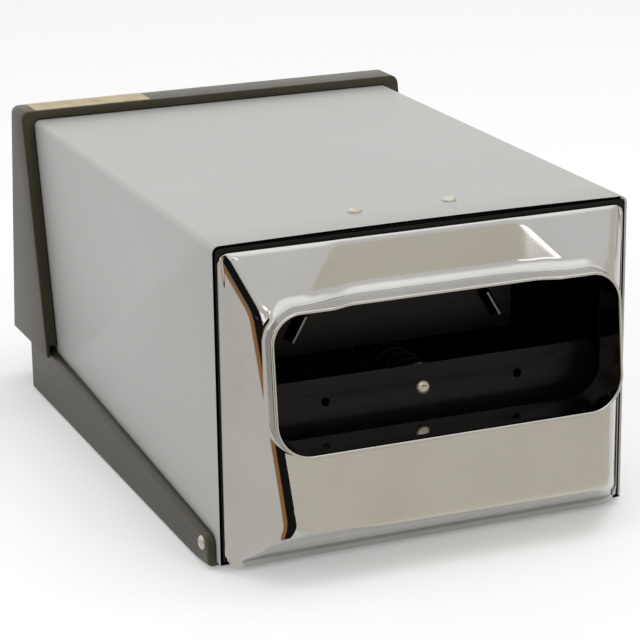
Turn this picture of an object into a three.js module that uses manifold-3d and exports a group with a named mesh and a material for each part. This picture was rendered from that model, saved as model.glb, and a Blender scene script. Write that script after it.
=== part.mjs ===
// Countertop napkin dispenser: a folded steel shell on a moulded tray, with a plated snout-shaped
// faceplate at the front, a spring-fed follower inside and a hinged loading door at the rear.
// Millimetres. X to the right, Y to the rear, Z up. Y = 0 is the shell's front edge and
// Z = 0 the tray's underside, until the last lines move the origin below the middle of the box.
import * as THREE from 'three';
import { mergeVertices } from 'three/addons/utils/BufferGeometryUtils.js';
import { ConvexGeometry } from 'three/addons/geometries/ConvexGeometry.js';
import Module from 'manifold-3d';

const wasm = await Module();
wasm.setup();

// Driving dimensions.
const gap = 0.3; // air between pieces that touch
const hairline = 0.05; // air under a head, a foot or a label that rests on its neighbour
const shellHalf = 95; // outer half-width of the steel shell
const shellTop = 141.5;
const shellLength = 262;
const shellBend = 3; // outer bend radius
const sheet = 1; // steel sheet thickness
const shellFlange = 11; // turned-in foot flange of the shell

const railOuter = 98.6; // outer half-width of the tray
const railInner = shellHalf + gap;
const trayFloor = 2.5;
const trayFront = 4.4;
const trayRear = 266;
const railFrontHeight = 14.2;
const railSlope = 0.064; // rise of the rail's top edge towards the rear
const rearWall = { height: 24, thickness: 2.5 };
const foot = { rise: 1, radius: 8, edge: 1, x: 78, front: 26, rear: 244 };
const floorRivet = { x: 89, front: 60, rear: 205, grip: 3.6 };

const hinge = { y: 272, z: 31, pinRadius: 2, pinLength: 5.1, ear: 6, inset: 0.4 };
const earFoot = { front: trayRear - 14, low: 20, high: 29 }; // where the hinge ear leaves the rail

const doorHalf = 101.25; // outer half-width of the door
const doorTop = 146;
const doorWall = 2;
const doorLipTop = 253.3; // Y of the front lip at the top
const doorLipBottom = 228.2; // Y of the front lip at the bottom edge
const doorRearTop = 274.1;
const doorRearBottom = 290.6;
const doorBottom = 26.5;
const doorCorner = 4;
const label = { left: -94, right: -34, front: doorLipTop + 0.7, rear: doorRearTop - 4.1, thick: 0.25 };

const rimHalf = 92; // plated faceplate, half-width over its flanks
const rimFlange = 1; // flat edge outside each flank
const rimBottom = 0.8;
const rimTop = 138.4;
const rimDepth = 1.5;
const faceWall = 2.2;
const flankSlope = 0.64; // sideways run of a flank for each millimetre of depth
const bevelSlope = 1.33; // depth gained for each millimetre of height on the lower bevel
const topSlope = 0.629; // depth gained for each millimetre of drop on the upper slope
const panelDepth = 15.9; // depth of the front panel at its upper edge
const panelTop = 115.5;
const panelSlope = 0.157; // depth gained for each millimetre of drop on the panel

const mouth = { half: 78.3, bottom: 56.9, top: 115.5, lowRadius: 14.5, highRadius: 12 };
const collarWall = 2;
const collarDepth = 29.3; // depth of the collar's edge at the mouth's bottom
const collarSlope = 0.099;
const collarRoot = 9; // depth where the collar's sleeve starts, inside the face
// Finger scoop in the upper slope: a sloping floor between two flared walls.
const scoop = { floorSlope: 0.374, wallRun: 0.227, wallDrop: 0.4187, wallBase: 49.92 };

const frame = { front: 0.3, rear: 2, holeHalf: 83.8, holeBottom: 9, holeTop: 133 };
const screw = { radius: 1.5, length: 4.8, head: 2.8, x: 87, lower: 16, upper: 124, boss: 3 };

const retainer = { half: 57, bottom: 78.6, y: 34.4, front: 20.7 };
const tab = { thick: 1.2, depth: 6, length: 13, turn: 0.52, x: 46, z: 91.4, set: 2.6 };
const topRivet = { x: 22, y: 24.4, grip: 4.5 };
const sideRivet = { y: 12, z: 9.5, grip: 6.5 };
const rivet = { head: 3.175, dome: 1.5, shank: 1.6 };

const followerHalf = 83;
const followerY = 2.5; // front face of the follower, fully forward
const followerBend = 60; // height where the follower's upper band starts to lean back
const followerLean = 3;
const followerTop = 77;
const followerBottom = 9.8;
const followerPlate = 1.2;
const followerFoot = 34; // Y of the foot flange's rear edge
const followerHole = { radius: 2, x: 45 };
const springHeight = 67;
const clipFace = followerY + followerPlate + followerLean + gap;
const spring = { front: clipFace + 1.1, rear: 275.4, radius: 9, wire: 0.8, turns: 18 };
const clip = { radius: 10, bore: 6.2, wall: 1, height: 9 };
const seat = { radius: 13, plate: 2, spigot: 6.8, reach: 8, boss: 8, bossLength: 5.2 };
const guide = { x: 30, half: 2, top: 6.8, front: 6, rear: 250 };
const shoe = { half: 5, front: 5, bottom: trayFloor + 0.6 };
const latch = { half: 9, top: shellTop - sheet - gap, y: 238, drop: 3.4, leaf: 0.8, tongueDrop: 6 };

// Materials.
function material(color, roughness, metalness) {
  return new THREE.MeshStandardMaterial({ color, roughness, metalness });
}
const silverPaint = material(0xbebfba, 0.42, 0.15);
const blackPlastic = material(0x2c2b29, 0.45, 0);
const chrome = material(0xd8d8d6, 0.06, 1);
const blackEnamel = material(0x101010, 0.3, 0);
const bareMetal = material(0xb9b6ae, 0.35, 0.9);
const rubber = material(0x1c1c1c, 0.85, 0);
const paper = material(0xd9bf99, 0.8, 0);
const whiteNylon = material(0xd6d4cc, 0.5, 0);

// Solids: three.js geometry in, joined and cut, three.js geometry out.
function solid(geometry) {
  const bare = geometry.index ? geometry.toNonIndexed() : geometry.clone();
  bare.deleteAttribute('normal');
  bare.deleteAttribute('uv');
  const merged = mergeVertices(bare, 1e-4);
  const mesh = new wasm.Mesh({
    numProp: 3,
    vertProperties: merged.attributes.position.array,
    triVerts: new Uint32Array(merged.index.array),
  });
  return new wasm.Manifold(mesh);
}

function geometryOf(body) {
  const mesh = body.getMesh();
  const geometry = new THREE.BufferGeometry();
  geometry.setAttribute('position', new THREE.BufferAttribute(mesh.vertProperties, 3));
  geometry.setIndex(new THREE.BufferAttribute(mesh.triVerts, 1));
  const flat = geometry.toNonIndexed();
  flat.computeVertexNormals();
  return flat;
}

function block(x0, x1, y0, y1, z0, z1) {
  const box = new THREE.BoxGeometry(x1 - x0, y1 - y0, z1 - z0);
  box.translate((x0 + x1) / 2, (y0 + y1) / 2, (z0 + z1) / 2);
  return solid(box);
}

// A closed outline through corners [a, b, radius], each corner rounded by its own radius.
function roundedShape(corners) {
  const shape = new THREE.Shape();
  corners.forEach(([a, b, radius], i) => {
    const before = corners.at(i - 1);
    const after = corners[(i + 1) % corners.length];
    const start = towards([a, b], before, radius);
    const end = towards([a, b], after, radius);
    if (i === 0) shape.moveTo(...start);
    else shape.lineTo(...start);
    if (radius > 0) shape.quadraticCurveTo(a, b, ...end);
  });
  shape.closePath();
  return shape;
}

function towards(from, to, distance) {
  const length = Math.hypot(to[0] - from[0], to[1] - from[1]);
  return [0, 1].map((k) => from[k] + ((to[k] - from[k]) * distance) / length);
}

const alongX = new THREE.Matrix4().makeBasis(
  new THREE.Vector3(0, 1, 0),
  new THREE.Vector3(0, 0, 1),
  new THREE.Vector3(1, 0, 0),
);
const alongY = new THREE.Matrix4().makeBasis(
  new THREE.Vector3(1, 0, 0),
  new THREE.Vector3(0, 0, 1),
  new THREE.Vector3(0, -1, 0),
);

// An outline in Y and Z, drawn out from x0 to x1.
function extrudeX(corners, x0, x1) {
  const settings = { depth: x1 - x0, bevelEnabled: false, curveSegments: 4 };
  const geometry = new THREE.ExtrudeGeometry(roundedShape(corners), settings);
  geometry.applyMatrix4(alongX);
  return solid(geometry.translate(x0, 0, 0));
}

// An outline in X and Z, drawn out from y0 to y1.
function extrudeY(corners, y0, y1) {
  const settings = { depth: y1 - y0, bevelEnabled: false, curveSegments: 5 };
  const geometry = new THREE.ExtrudeGeometry(roundedShape(corners), settings);
  geometry.applyMatrix4(alongY);
  return solid(geometry.translate(0, y1, 0));
}

function rectangle(half, bottom, top, lowRadius, highRadius) {
  return [
    [-half, bottom, lowRadius],
    [half, bottom, lowRadius],
    [half, top, highRadius],
    [-half, top, highRadius],
  ];
}

// A turned piece: a profile [radius, height] that starts and ends on the axis, its height
// pointing along the given axis from the given point.
function turned(profile, at, axis, sides = 14) {
  const points = profile.map(([r, h]) => new THREE.Vector2(r, h));
  const geometry = new THREE.LatheGeometry(points, sides);
  const up = new THREE.Vector3(0, 1, 0);
  const turn = new THREE.Quaternion().setFromUnitVectors(up, new THREE.Vector3(...axis));
  geometry.applyQuaternion(turn);
  return solid(geometry.translate(...at));
}

function rod(radius, length, at, axis, sides = 14) {
  return turned([[0, 0], [radius, 0], [radius, length], [0, length]], at, axis, sides);
}

function hull(points) {
  return solid(new ConvexGeometry(points.map((p) => new THREE.Vector3(...p))));
}

// Mirror-image points on both sides of the middle plane.
function bothSides(points) {
  return points.flatMap(([x, y, z]) => [[x, y, z], [-x, y, z]]);
}

// A rivet whose head stands on the surface at the given point and whose shank runs inwards.
function rivetBody(at, axis, grip) {
  const profile = [
    [0, -grip],
    [rivet.shank, -grip],
    [rivet.shank, 0],
    [rivet.head, 0],
    [rivet.head * 0.96, rivet.dome * 0.4],
    [rivet.head * 0.66, rivet.dome * 0.85],
    [0, rivet.dome],
  ];
  return turned(profile, at, axis);
}

const group = new THREE.Group();

function place(name, body, finish) {
  const mesh = new THREE.Mesh(geometryOf(body), finish);
  mesh.name = name;
  group.add(mesh);
}

const sides = [['left', -1], ['right', 1]];
const screwRows = [['lower', screw.lower], ['upper', screw.upper]];
const screwSpots = screwRows.flatMap(([, z]) => [[screw.x, z], [-screw.x, z]]);

// Shell: one sheet folded into an inverted U, with its foot flanges turned in.
function shellBody() {
  const foot = trayFloor + gap;
  const inner = shellHalf - sheet;
  const outline = [
    [-shellHalf, foot, 0],
    [-shellHalf + shellFlange, foot, 0],
    [-shellHalf + shellFlange, foot + sheet, 0],
    [-inner, foot + sheet, 0],
    [-inner, shellTop - sheet, shellBend - sheet],
    [inner, shellTop - sheet, shellBend - sheet],
    [inner, foot + sheet, 0],
    [shellHalf - shellFlange, foot + sheet, 0],
    [shellHalf - shellFlange, foot, 0],
    [shellHalf, foot, 0],
    [shellHalf, shellTop, shellBend],
    [-shellHalf, shellTop, shellBend],
  ];
  let body = extrudeY(outline, 0, shellLength);
  for (const [, side] of sides) {
    const hole = rivet.shank + gap;
    body = body.subtract(rod(hole, 9, [side * topRivet.x, topRivet.y, shellTop - 5], [0, 0, 1]));
    body = body.subtract(rod(hole, 9, [side * (shellHalf - 5), sideRivet.y, sideRivet.z], [side, 0, 0]));
    for (const y of [floorRivet.front, floorRivet.rear]) {
      body = body.subtract(rod(hole, 9, [side * floorRivet.x, y, 0], [0, 0, 1]));
    }
  }
  return body;
}

// Tray: a floor, a rear wall, and a side rail left and right whose top edge climbs to the rear.
function trayBody() {
  const railRearHeight = railFrontHeight + railSlope * (trayRear - trayFront);
  const rail = [
    [trayFront, 0, 3],
    [trayRear, 0, 1],
    [trayRear, railRearHeight, 0.5],
    [trayFront, railFrontHeight, 4.5],
  ];
  const reach = railInner + 1;
  let body = block(-reach, reach, trayFront + 3, trayRear, 0, trayFloor);
  body = body.add(block(-reach, reach, trayRear - rearWall.thickness, trayRear, 0, rearWall.height));
  for (const [, side] of sides) {
    const x0 = side < 0 ? -railOuter : railInner;
    const x1 = side < 0 ? -railInner : railOuter;
    const ear = [
      [earFoot.front, earFoot.low, 0],
      [trayRear - 0.5, earFoot.low, 0],
      [hinge.y + hinge.ear, hinge.z - 2, 3],
      [hinge.y + hinge.ear, hinge.z + hinge.ear, 5],
      [hinge.y - hinge.ear, hinge.z + hinge.ear, 4],
      [earFoot.front, earFoot.high, 0],
    ];
    body = body.add(extrudeX(rail, x0, x1)).add(extrudeX(ear, x0, x1));
    const hole = rivet.shank + gap;
    const inside = side * (railInner - 4);
    body = body.subtract(rod(hole, 12, [inside, sideRivet.y, sideRivet.z], [side, 0, 0]));
    body = body.subtract(rod(hinge.pinRadius + gap, 12, [inside, hinge.y, hinge.z], [side, 0, 0]));
    for (const y of [floorRivet.front, floorRivet.rear]) {
      body = body.subtract(rod(hole, 9, [side * floorRivet.x, y, -2], [0, 0, 1]));
    }
  }
  return body;
}

// Faceplate. Its flanks, panel, upper slope and lower bevel are flat planes. Moving them all
// inwards by the wall thickness gives the hollow behind them.
function faceHull(inset, back) {
  const flankShift = inset * Math.hypot(1, flankSlope);
  const panelShift = inset * Math.hypot(1, panelSlope);
  const topShift = inset * Math.hypot(1, topSlope);
  const bevelShift = inset * Math.hypot(1, bevelSlope);
  const flankX = (depth) => rimHalf - flankShift - flankSlope * (depth - rimDepth);
  const panel = (z) => panelDepth + panelSlope * (panelTop - z) - panelShift;
  const upperZ = panelTop + (panelShift - topShift) / (topSlope - panelSlope);
  const lowerZ =
    (panelDepth + panelSlope * panelTop - panelShift + bevelShift - rimDepth + bevelSlope * rimBottom) /
    (bevelSlope + panelSlope);
  const depth = Math.max(rimDepth - inset, 0);
  const topZ = rimTop - (topShift + depth - rimDepth) / topSlope;
  const bottomZ = rimBottom + (bevelShift + depth - rimDepth) / bevelSlope;
  const edge = flankX(depth);
  const points = [
    [edge, back, bottomZ],
    [edge, back, topZ],
    [edge, -depth, bottomZ],
    [edge, -depth, topZ],
    [flankX(panel(upperZ)), -panel(upperZ), upperZ],
    [flankX(panel(lowerZ)), -panel(lowerZ), lowerZ],
  ];
  return hull(bothSides(points));
}

function scoopCutter(inset) {
  const points = [];
  for (const z of [mouth.top - 0.5 - inset, rimTop + 8]) {
    const floor = rimDepth + (rimTop - z) * scoop.floorSlope - inset;
    const wallX = (depth) => (depth + inset + scoop.wallDrop * z - scoop.wallBase) / scoop.wallRun;
    points.push([wallX(floor), -floor, z], [wallX(40), -40, z]);
  }
  return hull(bothSides(points));
}

function faceplateBody() {
  const outline = rectangle(rimHalf + rimFlange, rimBottom, rimTop, 7.5, 5);
  const inside = rectangle(
    rimHalf - faceWall, rimBottom + faceWall, rimTop - faceWall, 6, 3.5);
  const drawn = faceHull(0, 0).add(extrudeY(outline, -rimDepth, 0));
  const skin = drawn.intersect(extrudeY(outline, -50, 5)).subtract(scoopCutter(0));
  const hollow = faceHull(faceWall, 1)
    .intersect(extrudeY(inside, -50, 5))
    .subtract(scoopCutter(faceWall));
  const opening = rectangle(mouth.half, mouth.bottom, mouth.top, mouth.lowRadius, mouth.highRadius);
  const rimOutline = rectangle(
    mouth.half + collarWall, mouth.bottom - collarWall, mouth.top + collarWall,
    mouth.lowRadius + collarWall, mouth.highRadius + collarWall);
  const crest = (z) => -(collarDepth - collarSlope * (z - mouth.bottom));
  const infront = hull(bothSides([
    [120, crest(30), 30],
    [120, crest(140), 140],
    [120, -collarRoot, 30],
    [120, -collarRoot, 140],
  ]));
  const collar = extrudeY(rimOutline, -50, 0).intersect(infront);
  let bosses = null;
  for (const [x, z] of screwSpots) {
    const boss = rod(screw.boss, 12, [x, 0, z], [0, -1, 0]);
    bosses = bosses ? bosses.add(boss) : boss;
  }
  let body = skin.subtract(hollow).add(collar).add(bosses.intersect(skin));
  body = body.subtract(extrudeY(opening, -50, 5));
  for (const [x, z] of screwSpots) {
    body = body.subtract(rod(screw.radius + gap, 5, [x, 1, z], [0, -1, 0]));
  }
  return body;
}

// Black frame behind the faceplate: it fills the shell's mouth and carries the face screws.
function frameBody() {
  const inner = shellHalf - sheet - gap;
  const outer = rectangle(inner, trayFloor + gap + sheet + gap, shellTop - sheet - gap, 1, 2.5);
  const hole = rectangle(frame.holeHalf, frame.holeBottom, frame.holeTop, 4, 4);
  let body = extrudeY(outer, frame.front, frame.rear).subtract(extrudeY(hole, -5, 9));
  for (const [x, z] of screwSpots) {
    body = body.subtract(rod(screw.radius + gap, 9, [x, 5, z], [0, -1, 0]));
  }
  return body;
}

function screwBody(x, z) {
  const { radius, length, head } = screw;
  const profile = [[0, -length], [radius, -length], [radius, 0], [head, 0], [head - 0.4, 1.3], [0, 1.6]];
  return turned(profile, [x, frame.rear + 0.2, z], [0, 1, 0]);
}

// Upper retainer: an angle plate hung from the shell's top, with two lanced tabs.
function retainerBody() {
  const top = shellTop - sheet - gap;
  const { half, bottom, y, front } = retainer;
  let body = block(-half, half, y, y + sheet, bottom, top);
  body = body.add(block(-half, half, front, y + sheet, top - sheet, top));
  for (const [, side] of sides) {
    const lance = new THREE.BoxGeometry(tab.thick, tab.depth, tab.length);
    lance.rotateY(-side * tab.turn);
    lance.translate(side * tab.x, y - tab.set, tab.z);
    body = body.add(solid(lance));
    body = body.subtract(rod(rivet.shank + gap, 9, [side * topRivet.x, topRivet.y, top - 5], [0, 0, 1]));
  }
  return body;
}

// Follower: a plate with a foot flange, leaning back above a bend.
function followerBody() {
  const rear = followerY + followerPlate;
  const profile = [
    [followerY, followerBottom, 0],
    [followerFoot, followerBottom, 0],
    [followerFoot, followerBottom + followerPlate, 0],
    [rear, followerBottom + followerPlate, 0],
    [rear, followerBend, 0],
    [rear + followerLean, followerTop, 0],
    [followerY + followerLean, followerTop, 0],
    [followerY, followerBend, 0],
  ];
  let body = extrudeX(profile, -followerHalf, followerHalf);
  body = body.subtract(rod(rivet.shank + gap, 12, [0, 0, springHeight], [0, 1, 0]));
  for (const [, side] of sides) {
    const hole = rod(followerHole.radius, 12, [side * followerHole.x, 0, springHeight], [0, 1, 0], 10);
    body = body.subtract(hole);
  }
  return body;
}

// The follower's rivet stands square to the leaning band.
function followerRivetBody() {
  const band = followerTop - followerBend;
  const faceY = followerY + (followerLean * (springHeight - followerBend)) / band;
  const square = new THREE.Vector3(0, -band, followerLean).normalize();
  const at = new THREE.Vector3(0, faceY, springHeight).addScaledVector(square, hairline);
  return rivetBody(at.toArray(), square.toArray(), followerPlate + clip.wall + 0.2);
}

function springClipBody() {
  const { radius, bore, wall, height } = clip;
  const profile = [
    [0, 0],
    [radius, 0],
    [radius, wall],
    [bore + wall, wall],
    [bore + wall, height],
    [bore, height],
    [bore, wall + 0.4],
    [0, wall + 0.4],
  ];
  const cup = turned(profile, [0, clipFace, springHeight], [0, 1, 0], 18);
  return cup.subtract(rod(rivet.shank + gap, 20, [0, 0, springHeight], [0, 1, 0]));
}

// Coil spring, drawn as its real helix.
class Helix extends THREE.Curve {
  getPoint(t, target = new THREE.Vector3()) {
    const angle = 2 * Math.PI * spring.turns * t;
    const length = spring.rear - spring.front - 2 * spring.wire;
    return target.set(
      spring.radius * Math.cos(angle),
      spring.front + spring.wire + length * t,
      springHeight + spring.radius * Math.sin(angle),
    );
  }
}

function springBody() {
  const wire = new THREE.Shape();
  wire.absarc(0, 0, spring.wire, 0, 2 * Math.PI);
  const settings = { steps: spring.turns * 10, curveSegments: 4, extrudePath: new Helix() };
  return solid(new THREE.ExtrudeGeometry(wire, settings));
}

function guideBody(side) {
  const x = side * guide.x;
  return block(x - guide.half, x + guide.half, guide.front, guide.rear, trayFloor + gap, guide.top);
}

function shoeBody(side) {
  const x = side * guide.x;
  const top = followerBottom - gap;
  const body = block(x - shoe.half, x + shoe.half, shoe.front, followerFoot, shoe.bottom, top);
  const groove = guide.half + gap;
  return body.subtract(block(x - groove, x + groove, 0, followerFoot + 5, 0, guide.top + gap));
}

// Door: a wedge-shaped cap open to the front, its lip close round the shell.
function doorBody() {
  const rearRun = (doorRearBottom - doorRearTop) / (doorTop - doorBottom);
  const hollowBottom = doorBottom - 10;
  const hollowRear = doorRearTop + (doorTop - hollowBottom) * rearRun - doorWall;
  const profile = [
    [doorLipBottom, doorBottom, 2],
    [doorRearBottom, doorBottom, 1],
    [doorRearTop, doorTop, doorCorner],
    [doorLipTop, doorTop, 0.5],
  ];
  const inner = [
    [150, hollowBottom, 0],
    [hollowRear, hollowBottom, 0],
    [doorRearTop - doorWall, doorTop - doorWall, doorCorner - 1],
    [150, doorTop - doorWall, 0],
  ];
  const crown = rectangle(doorHalf, 0, doorTop, 0, doorCorner);
  const crownInside = rectangle(doorHalf - doorWall, 0, doorTop - doorWall, 0, doorCorner - 1);
  const outer = extrudeX(profile, -doorHalf, doorHalf).intersect(extrudeY(crown, 150, 350));
  const bowl = extrudeX(inner, -doorHalf, doorHalf).intersect(extrudeY(crownInside, 140, 360));
  const lipSlab = extrudeX([
    [doorLipBottom - 5, doorBottom, 0],
    [doorLipBottom + doorWall, doorBottom, 0],
    [doorLipTop + doorWall, doorTop, 0],
    [doorLipTop - 5, doorTop, 0],
  ], -doorHalf, doorHalf);
  const room = shellHalf + gap + 0.1;
  const shellRoom = block(-room, room, 150, 350, 0, shellTop + gap + 0.1);
  const railRoom = block(-doorHalf + doorWall, doorHalf - doorWall, 150, 350, 0, hinge.z + 1);
  const lipBody = outer.intersect(lipSlab).subtract(shellRoom).subtract(railRoom);
  let body = outer.subtract(bowl).add(lipBody);
  for (const [, side] of sides) {
    const start = side * (doorHalf - doorWall - 1);
    body = body.subtract(rod(hinge.pinRadius + gap, 2.2, [start, hinge.y, hinge.z], [side, 0, 0]));
  }
  return body;
}

function hingePinBody(side) {
  const start = [side * (railInner - hinge.inset), hinge.y, hinge.z];
  return rod(hinge.pinRadius, hinge.pinLength, start, [side, 0, 0], 16);
}

// Spring seat: a disc on the door's inside, with a spigot that the last coil turns sit round.
function springSeatBody() {
  const { radius, plate, spigot, reach, boss, bossLength } = seat;
  const profile = [
    [0, -reach],
    [spigot - 0.8, -reach],
    [spigot, -reach + 2],
    [spigot, 0],
    [radius, 0],
    [radius, plate],
    [boss, plate],
    [boss, bossLength],
    [0, bossLength],
  ];
  return turned(profile, [0, spring.rear + 0.2, springHeight], [0, 1, 0], 18);
}

// Latch: a leaf under the shell's top that the door's tongue snaps under.
function latchLeafBody() {
  const { half, top, y, drop, leaf } = latch;
  return extrudeX([
    [y, top - leaf, 0],
    [y + 12, top - leaf, 0],
    [y + 20, top - drop - leaf, 0],
    [y + 28, top - 1.6 - leaf, 0],
    [y + 28, top - 1.6, 0],
    [y + 20, top - drop, 0],
    [y + 12, top, 0],
    [y, top, 0],
  ], -half, half);
}

function latchTongueBody() {
  const top = latch.top - latch.tongueDrop;
  const thick = 3;
  const rear = doorRearTop - 0.3;
  return extrudeX([
    [latch.y + 16, top - thick, 1],
    [rear - 1.2, top - thick, 0],
    [rear - 1.2, top - 2 * thick, 0],
    [rear, top - 2 * thick, 0],
    [rear - 0.7, top, 0],
    [latch.y + 20, top, 0],
  ], -latch.half, latch.half);
}

function footBody(side, y) {
  const { rise, radius, edge } = foot;
  const top = rise - hairline;
  const profile = [[0, 0], [radius - edge, 0], [radius, edge / 2], [radius, top], [0, top]];
  return turned(profile, [side * foot.x, y, -rise], [0, 0, 1], 20);
}

function labelBody() {
  const outline = [
    [label.left, label.front, 1],
    [label.right, label.front, 1],
    [label.right, label.rear, 1],
    [label.left, label.rear, 1],
  ];
  const settings = { depth: label.thick, bevelEnabled: false };
  const geometry = new THREE.ExtrudeGeometry(roundedShape(outline), settings);
  return solid(geometry.translate(0, 0, doorTop + hairline));
}

place('base_tray', trayBody(), blackPlastic);
place('shell', shellBody(), silverPaint);
place('face_frame', frameBody(), blackEnamel);
place('faceplate', faceplateBody(), chrome);
place('upper_retainer', retainerBody(), blackEnamel);
place('follower_plate', followerBody(), blackEnamel);
place('spring_clip', springClipBody(), bareMetal);
place('pusher_spring', springBody(), bareMetal);
place('rear_door', doorBody(), blackPlastic);
place('spring_seat', springSeatBody(), blackPlastic);
place('latch_leaf', latchLeafBody(), bareMetal);
place('latch_tongue', latchTongueBody(), blackPlastic);
place('door_label', labelBody(), paper);
place('follower_rivet', followerRivetBody(), bareMetal);

for (const [name, side] of sides) {
  const above = [side * topRivet.x, topRivet.y, shellTop + hairline];
  const beside = [side * (railOuter + hairline), sideRivet.y, sideRivet.z];
  place(`top_rivet_${name}`, rivetBody(above, [0, 0, 1], topRivet.grip), bareMetal);
  place(`side_rivet_${name}`, rivetBody(beside, [side, 0, 0], sideRivet.grip), bareMetal);
  place(`guide_rail_${name}`, guideBody(side), bareMetal);
  place(`glide_shoe_${name}`, shoeBody(side), whiteNylon);
  place(`hinge_pin_${name}`, hingePinBody(side), bareMetal);
  for (const row of ['front', 'rear']) {
    place(`foot_${row}_${name}`, footBody(side, foot[row]), rubber);
    const top = [side * floorRivet.x, floorRivet[row], trayFloor + gap + sheet + hairline];
    place(`floor_rivet_${row}_${name}`, rivetBody(top, [0, 0, 1], floorRivet.grip), bareMetal);
  }
  for (const [row, z] of screwRows) {
    place(`face_screw_${row}_${name}`, screwBody(side * screw.x, z), bareMetal);
  }
}

// Origin: below the middle of the box, on the plane that the feet stand on.
const box = new THREE.Box3().setFromObject(group, true);
const middle = box.getCenter(new THREE.Vector3());
group.position.set(-middle.x, -middle.y, -box.min.z);

export default group;
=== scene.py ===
import math
import bmesh
import bpy
from mathutils import Matrix, Quaternion, Vector


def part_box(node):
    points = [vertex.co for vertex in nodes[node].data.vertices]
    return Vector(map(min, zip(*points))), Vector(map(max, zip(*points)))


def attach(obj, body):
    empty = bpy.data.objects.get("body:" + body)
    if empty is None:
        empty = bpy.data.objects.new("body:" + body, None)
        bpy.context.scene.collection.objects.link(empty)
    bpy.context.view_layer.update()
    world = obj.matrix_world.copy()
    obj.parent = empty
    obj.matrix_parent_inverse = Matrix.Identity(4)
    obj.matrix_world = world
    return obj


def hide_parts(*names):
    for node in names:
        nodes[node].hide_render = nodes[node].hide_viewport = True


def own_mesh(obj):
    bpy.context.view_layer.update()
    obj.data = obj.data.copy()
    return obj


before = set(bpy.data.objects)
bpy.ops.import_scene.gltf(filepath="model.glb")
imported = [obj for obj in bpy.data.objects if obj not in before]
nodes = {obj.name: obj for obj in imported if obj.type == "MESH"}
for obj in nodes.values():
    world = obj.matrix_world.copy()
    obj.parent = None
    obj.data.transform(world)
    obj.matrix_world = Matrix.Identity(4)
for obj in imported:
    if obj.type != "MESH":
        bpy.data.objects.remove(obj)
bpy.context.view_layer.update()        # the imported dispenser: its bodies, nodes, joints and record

print("frame loaded,", len(nodes), "nodes")

# Places are measured from the shell's front edge and the tray's underside, in metres.
shellLow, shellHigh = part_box("shell")
trayLow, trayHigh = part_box("base_tray")
frontLine = shellLow.y
trayLine = trayLow.z
tiny = 0.00005


def spot(x, y, z):
    return Vector((x, frontLine + y, trayLine + z))


# Ways of working

def deselectAll():
    bpy.ops.object.select_all(action="DESELECT")


def makeActive(piece):
    deselectAll()
    bpy.context.view_layer.objects.active = piece
    piece.select_set(True)


def startEdit(piece):
    makeActive(piece)
    bpy.ops.object.mode_set(mode="EDIT")


def endEdit():
    bpy.ops.object.mode_set(mode="OBJECT")


def applyPlace():
    bpy.ops.object.transform_apply(location=True, rotation=True, scale=True)


def boxAt(name, low, high, turn=(0, 0, 0)):
    deselectAll()
    low, high = Vector(low), Vector(high)
    bpy.ops.mesh.primitive_cube_add(size=1, location=(low + high) / 2, rotation=turn)
    piece = bpy.context.active_object
    piece.name = name
    piece.scale = high - low
    applyPlace()
    return piece


def rodAt(name, radius, start, end, sides=32):
    deselectAll()
    start, end = Vector(start), Vector(end)
    along = (end - start).to_track_quat("Z", "Y").to_euler()
    bpy.ops.mesh.primitive_cylinder_add(
        vertices=sides, radius=radius, depth=(end - start).length,
        location=(start + end) / 2, rotation=along)
    piece = bpy.context.active_object
    piece.name = name
    applyPlace()
    return piece


def middleOf(part):
    points = [part.co] if isinstance(part, bmesh.types.BMVert) else [v.co for v in part.verts]
    return sum(points, Vector()) / len(points)


def pick(piece, kind, test):
    # in edit mode: select only the verts, edges or faces that pass the test
    modes = {"verts": "VERT", "edges": "EDGE", "faces": "FACE"}
    bpy.ops.mesh.select_mode(type=modes[kind])
    bpy.ops.mesh.select_all(action="DESELECT")
    shape = bmesh.from_edit_mesh(piece.data)
    for part in getattr(shape, kind):
        part.select_set(bool(test(part)))
    shape.select_flush_mode()
    bmesh.update_edit_mesh(piece.data)


def runsAlong(edge, axis):
    way = edge.verts[1].co - edge.verts[0].co
    return way.length > 0 and abs(way[axis]) > 0.97 * way.length


def slide(x=0, y=0, z=0):
    bpy.ops.transform.translate(value=(x, y, z))


def roundEdges(width, steps):
    bpy.ops.mesh.bevel(offset=width, segments=steps, affect="EDGES")


def modify(piece, kind, **settings):
    makeActive(piece)
    added = piece.modifiers.new(kind.lower(), kind)
    for name, value in settings.items():
        setattr(added, name, value)
    bpy.ops.object.modifier_apply(modifier=added.name)


def carve(piece, tool):
    modify(piece, "BOOLEAN", operation="DIFFERENCE", solver="EXACT", object=tool)
    bpy.data.objects.remove(tool)


def weld(piece, other):
    modify(piece, "BOOLEAN", operation="UNION", solver="EXACT", object=other)
    bpy.data.objects.remove(other)


def softenEdges(piece, width, steps=3, angle=35):
    modify(piece, "BEVEL", width=width, segments=steps, limit_method="ANGLE",
           angle_limit=math.radians(angle), use_clamp_overlap=True)


def outwardNormals(piece):
    startEdit(piece)
    bpy.ops.mesh.select_all(action="SELECT")
    bpy.ops.mesh.remove_doubles(threshold=0.000001)
    bpy.ops.mesh.normals_make_consistent(inside=False)
    endEdit()


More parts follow.
